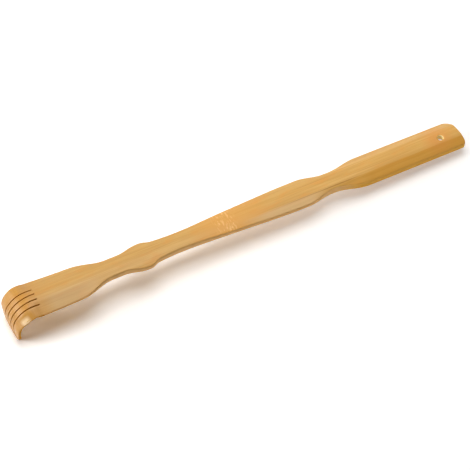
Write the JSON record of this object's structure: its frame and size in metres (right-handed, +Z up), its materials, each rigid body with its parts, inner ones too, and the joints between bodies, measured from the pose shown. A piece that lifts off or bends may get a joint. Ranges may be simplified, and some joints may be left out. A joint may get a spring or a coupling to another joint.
{
  "type": "back scratcher",
  "caption": "Slender split-bamboo back scratcher with a bent claw of sawn fingers, waisted shaft and broad grip with a hanging hole.",
  "frame": {"origin": "on the surface that it lies on, below the middle of its bounding box", "axes": "+X along the strip from the claw to the grip, +Y across it, +Z up; it lies on its fingertips and the grip's end"},
  "size_m": [0.4384, 0.0358, 0.035],
  "materials": {
    "bamboo_strip": "sanded and thinly varnished bamboo, satin, with fine fibres along its length",
    "bamboo_claw": "steam-bent bamboo, a little darker and more golden than the strip, satin",
    "bamboo_joint": "bamboo at the culm's joint, paler and more orange, with crossing fibres"
  },
  "bodies": {
    "root": {"finger_1": "bamboo_claw", "finger_2": "bamboo_claw", "finger_3": "bamboo_claw", "finger_4": "bamboo_claw", "finger_5": "bamboo_claw", "palm": "bamboo_strip", "neck": "bamboo_strip", "bulge": "bamboo_strip", "lower_shaft": "bamboo_strip", "bamboo_node": "bamboo_joint", "upper_shaft": "bamboo_strip", "grip_neck": "bamboo_strip", "grip": "bamboo_strip"}
  },
  "joints": []
}
